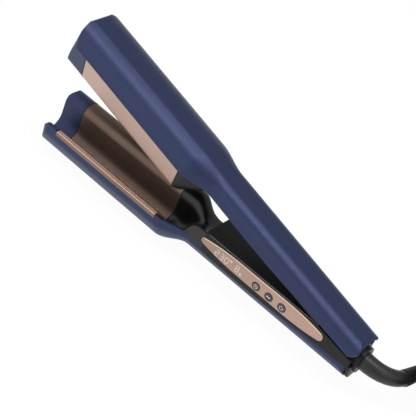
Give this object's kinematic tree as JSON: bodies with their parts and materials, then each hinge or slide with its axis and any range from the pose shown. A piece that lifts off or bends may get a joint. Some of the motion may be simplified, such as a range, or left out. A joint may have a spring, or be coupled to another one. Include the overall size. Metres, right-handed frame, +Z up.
{
  "type": "hair waver",
  "caption": "Hair waver with two hinged arms, a deep wave plate in each jaw, a leaf-shaped control panel with push buttons, and a coiled mains cord.",
  "frame": {"origin": "below the middle of the tool's length, on the flat land under the lower jaw that rests on the table", "axes": "+X along the lower arm from the jaws' tip towards the cord, +Z up, the control panel on the -Y side"},
  "size_m": [0.4392, 0.1118, 0.1228],
  "materials": {
    "blue_shell": "satin slate blue lacquer",
    "gloss_black": "glossy black",
    "satin_black": "fine satin black",
    "dark_ceramic": "dark glossy ceramic coat on aluminium",
    "rose_gold": "satin rose gold anodising",
    "silicone": "black",
    "heat_plastic": "dark heat-resistant plastic",
    "aluminium": "extruded",
    "ceramic_white": "fired",
    "steel": "plain",
    "wire_red": "silicone insulation",
    "board_green": "solder mask",
    "display_grey": "display module",
    "cord_rubber": "satin black",
    "brass": "nickel plated"
  },
  "bodies": {
    "lower_arm": {"lower_cover": "blue_shell", "lower_neck": "gloss_black", "neck_screw": "steel", "handle_housing": "satin_black", "handle_lid": "satin_black", "end_ring": "satin_black", "lower_wave_plate": "dark_ceramic", "lower_side_plate": "rose_gold", "lower_edge_trim": "rose_gold", "lower_plate_gaskets": "silicone", "lower_plate_carrier": "heat_plastic", "lower_heat_spreader": "aluminium", "lower_heater": "ceramic_white", "lower_heater_spring": "steel", "lower_thermal_sensor": "ceramic_white", "lower_heater_leads": "wire_red", "control_panel": "rose_gold", "button_switches": "heat_plastic", "control_board": "board_green", "board_screws": "steel", "display_module": "display_grey", "supply_leads": "wire_red", "hinge_pin": "steel", "hinge_washers": "heat_plastic", "opening_spring": "steel", "strain_relief": "cord_rubber", "cord": "cord_rubber", "cord_tail": "cord_rubber", "cord_coil": "cord_rubber", "cord_tie": "cord_rubber", "plug_body": "cord_rubber", "plug_pins": "brass"},
    "upper_arm": {"upper_cover": "blue_shell", "upper_liner": "satin_black", "upper_wave_plate": "dark_ceramic", "upper_side_plate": "rose_gold", "upper_edge_trim": "rose_gold", "upper_plate_gaskets": "silicone", "upper_plate_carrier": "heat_plastic", "upper_heat_spreader": "aluminium", "upper_heater": "ceramic_white", "upper_heater_spring": "steel", "upper_thermal_sensor": "ceramic_white", "upper_heater_leads": "wire_red", "liner_screws": "steel"},
    "timer_button": {"timer_button": "gloss_black"},
    "temperature_button": {"temperature_button": "gloss_black"},
    "power_button": {"power_button": "gloss_black"}
  },
  "joints": [
    {"name": "arm_hinge", "type": "hinge", "parent": "lower_arm", "child": "upper_arm", "pos_m": [0.108, 0, 0.0346], "axis": [0, 1, 0], "range_deg": [-15, 0], "stiffness_Nm_per_rad": 0.55, "springref_deg": 45.84},
    {"name": "timer_button_press", "type": "slide", "parent": "lower_arm", "child": "timer_button", "axis": [0, 1, 0], "range_m": [0, 0.0004], "stiffness_N_per_m": 900, "springref_m": -0.0004},
    {"name": "temperature_button_press", "type": "slide", "parent": "lower_arm", "child": "temperature_button", "axis": [0, 1, 0], "range_m": [0, 0.0004], "stiffness_N_per_m": 900, "springref_m": -0.0004},
    {"name": "power_button_press", "type": "slide", "parent": "lower_arm", "child": "power_button", "axis": [0, 1, 0], "range_m": [0, 0.0004], "stiffness_N_per_m": 900, "springref_m": -0.0004}
  ]
}
